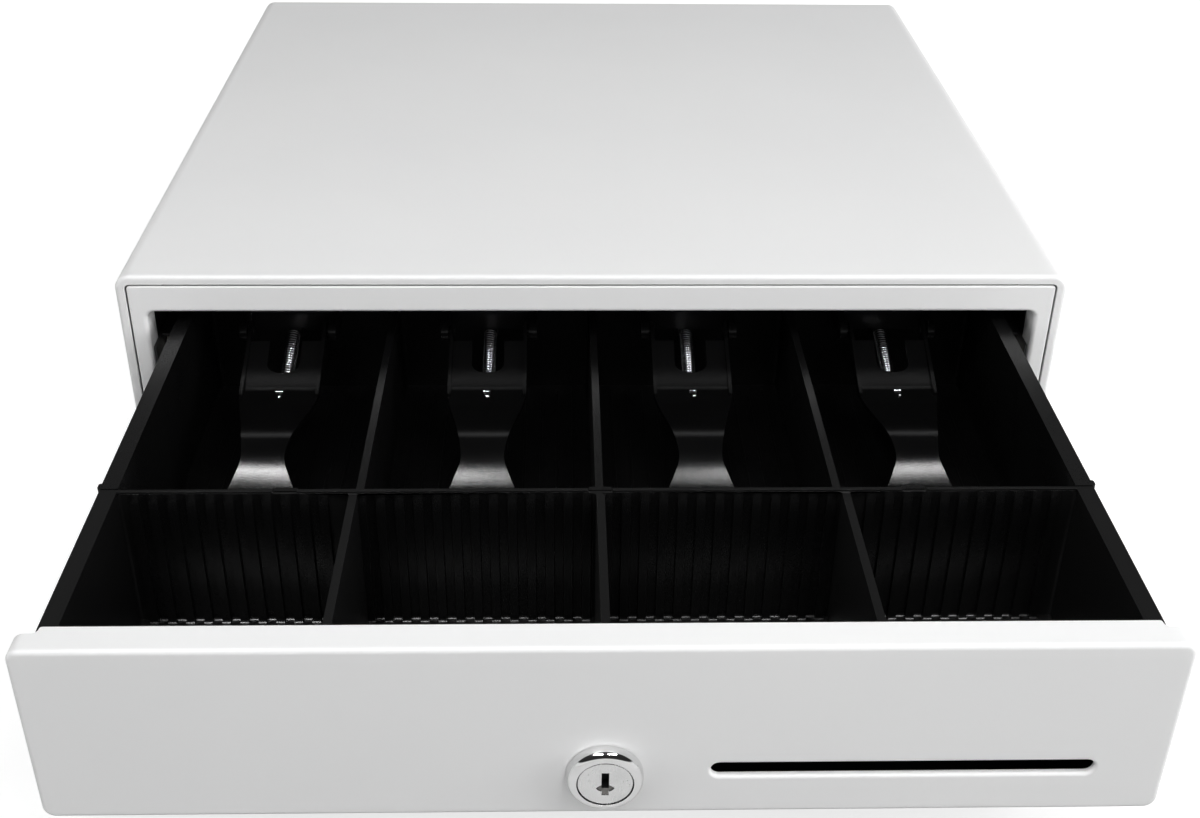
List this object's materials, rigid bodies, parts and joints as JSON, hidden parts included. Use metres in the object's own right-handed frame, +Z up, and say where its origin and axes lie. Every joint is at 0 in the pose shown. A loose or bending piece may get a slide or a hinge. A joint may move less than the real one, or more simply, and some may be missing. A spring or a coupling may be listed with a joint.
{
  "type": "cash drawer",
  "caption": "Steel till drawer, run out of its housing, with a note and coin tray, sprung note clips, key lock and slip slot.",
  "frame": {"origin": "on the floor under the feet, at the centre of the whole object with the drawer run out", "axes": "+X to the right seen from the front, +Y from the drawer front to the rear panel, +Z up"},
  "size_m": [0.41, 0.6178, 0.115],
  "materials": {
    "white_painted_steel": "fine satin powder coat",
    "black_painted_steel": "satin black paint",
    "black_plastic": "moulded, satin",
    "zinc_plated_steel": "bright zinc plating",
    "lock_chrome": "polished chrome plating",
    "spring_steel": "bright drawn wire",
    "nylon": "natural nylon",
    "foot_rubber": "matt",
    "coil_tape": "polyester winding tape"
  },
  "bodies": {
    "housing": {"base_pan": "zinc_plated_steel", "cable_socket": "black_plastic", "drawer_switch": "black_plastic", "ejector_bracket": "zinc_plated_steel", "ejector_spring": "spring_steel", "foot_front_left": "foot_rubber", "foot_front_right": "foot_rubber", "foot_rear_left": "foot_rubber", "foot_rear_right": "foot_rubber", "front_frame": "white_painted_steel", "housing_rail_left": "black_painted_steel", "housing_rail_right": "black_painted_steel", "housing_roller_pin_left": "zinc_plated_steel", "housing_roller_pin_right": "zinc_plated_steel", "latch_post": "zinc_plated_steel", "lock_keeper": "zinc_plated_steel", "rear_panel": "white_painted_steel", "rear_screw_lower_left": "zinc_plated_steel", "rear_screw_lower_right": "zinc_plated_steel", "rear_screw_upper_left": "zinc_plated_steel", "rear_screw_upper_right": "zinc_plated_steel", "side_plate_left": "black_painted_steel", "side_plate_right": "black_painted_steel", "solenoid_bracket": "zinc_plated_steel", "solenoid_coil": "coil_tape", "top_cover": "white_painted_steel"},
    "drawer": {"drawer_pan": "black_painted_steel", "drawer_front": "white_painted_steel", "note_tray": "black_plastic", "lock_body": "lock_chrome", "lock_nut": "zinc_plated_steel", "latch_strike": "zinc_plated_steel", "drawer_rail_left": "black_painted_steel", "drawer_rail_right": "black_painted_steel", "drawer_roller_pin_left": "zinc_plated_steel", "drawer_roller_pin_right": "zinc_plated_steel", "clip_bracket_1": "black_plastic", "clip_bracket_2": "black_plastic", "clip_bracket_3": "black_plastic", "clip_bracket_4": "black_plastic", "clip_spring_1": "spring_steel", "clip_spring_2": "spring_steel", "clip_spring_3": "spring_steel", "clip_spring_4": "spring_steel"},
    "coin_tray": {"coin_tray": "black_plastic"},
    "clip_1": {"note_clip_1": "black_plastic"},
    "clip_2": {"note_clip_2": "black_plastic"},
    "clip_3": {"note_clip_3": "black_plastic"},
    "clip_4": {"note_clip_4": "black_plastic"},
    "lock": {"lock_plug": "lock_chrome", "lock_cam": "zinc_plated_steel"},
    "latch": {"latch_hook": "zinc_plated_steel"},
    "plunger": {"solenoid_plunger": "spring_steel"},
    "switch_lever": {"switch_lever": "spring_steel"},
    "housing_roller_left": {"housing_roller_left": "nylon"},
    "drawer_roller_left": {"drawer_roller_left": "nylon"},
    "housing_roller_right": {"housing_roller_right": "nylon"},
    "drawer_roller_right": {"drawer_roller_right": "nylon"}
  },
  "joints": [
    {"name": "drawer_slide", "type": "slide", "parent": "housing", "child": "drawer", "axis": [0, -1, 0], "range_m": [-0.2165, 0], "deforming": ["ejector_spring"]},
    {"name": "coin_tray_lift", "type": "slide", "parent": "drawer", "child": "coin_tray", "axis": [0, 0, 1], "range_m": [0, 0.07]},
    {"name": "clip_1_turn", "type": "hinge", "parent": "drawer", "child": "clip_1", "pos_m": [-0.1368, -0.0669, 0.0775], "axis": [-1, 0, 0], "range_deg": [0, 50], "stiffness_Nm_per_rad": 0.02, "springref_deg": -20.05, "deforming": ["clip_spring_1"]},
    {"name": "clip_2_turn", "type": "hinge", "parent": "drawer", "child": "clip_2", "pos_m": [-0.0468, -0.0669, 0.0775], "axis": [-1, 0, 0], "range_deg": [0, 50], "stiffness_Nm_per_rad": 0.02, "springref_deg": -20.05, "deforming": ["clip_spring_2"]},
    {"name": "clip_3_turn", "type": "hinge", "parent": "drawer", "child": "clip_3", "pos_m": [0.0432, -0.0669, 0.0775], "axis": [-1, 0, 0], "range_deg": [0, 50], "stiffness_Nm_per_rad": 0.02, "springref_deg": -20.05, "deforming": ["clip_spring_3"]},
    {"name": "clip_4_turn", "type": "hinge", "parent": "drawer", "child": "clip_4", "pos_m": [0.1332, -0.0669, 0.0775], "axis": [-1, 0, 0], "range_deg": [0, 50], "stiffness_Nm_per_rad": 0.02, "springref_deg": -20.05, "deforming": ["clip_spring_4"]},
    {"name": "lock_turn", "type": "hinge", "parent": "drawer", "child": "lock", "pos_m": [0, -0.3039, 0.0391], "axis": [0, 1, 0], "range_deg": [0, 90]},
    {"name": "latch_turn", "type": "hinge", "parent": "housing", "child": "latch", "pos_m": [-0.014, 0.2218, 0.027], "axis": [0, 0, -1], "range_deg": [-13, 0]},
    {"name": "plunger_slide", "type": "slide", "parent": "housing", "child": "plunger", "axis": [1, 0, 0], "range_m": [-0.0036, 0], "stiffness_N_per_m": 60},
    {"name": "switch_lever_turn", "type": "hinge", "parent": "housing", "child": "switch_lever", "pos_m": [-0.084, 0.178, 0.0275], "axis": [0, 0, 1], "range_deg": [0, 6], "stiffness_Nm_per_rad": 0.01},
    {"name": "housing_roller_left_spin", "type": "hinge", "parent": "housing", "child": "housing_roller_left", "pos_m": [-0.18785, -0.0666, 0.0689], "axis": [1, 0, 0], "continuous": true},
    {"name": "drawer_roller_left_spin", "type": "hinge", "parent": "drawer", "child": "drawer_roller_left", "pos_m": [-0.18465, -0.0494, 0.07], "axis": [1, 0, 0], "continuous": true},
    {"name": "housing_roller_right_spin", "type": "hinge", "parent": "housing", "child": "housing_roller_right", "pos_m": [0.18785, -0.0666, 0.0689], "axis": [1, 0, 0], "continuous": true},
    {"name": "drawer_roller_right_spin", "type": "hinge", "parent": "drawer", "child": "drawer_roller_right", "pos_m": [0.18465, -0.0494, 0.07], "axis": [1, 0, 0], "continuous": true}
  ],
  "couplings": [
    {"joint": "latch_turn", "follows": "plunger_slide", "rad_per_m": 62.5},
    {"joint": "housing_roller_left_spin", "follows": "drawer_slide", "rad_per_m": 142.86},
    {"joint": "drawer_roller_left_spin", "follows": "drawer_slide", "rad_per_m": 123.46},
    {"joint": "housing_roller_right_spin", "follows": "drawer_slide", "rad_per_m": 142.86},
    {"joint": "drawer_roller_right_spin", "follows": "drawer_slide", "rad_per_m": 123.46}
  ]
}
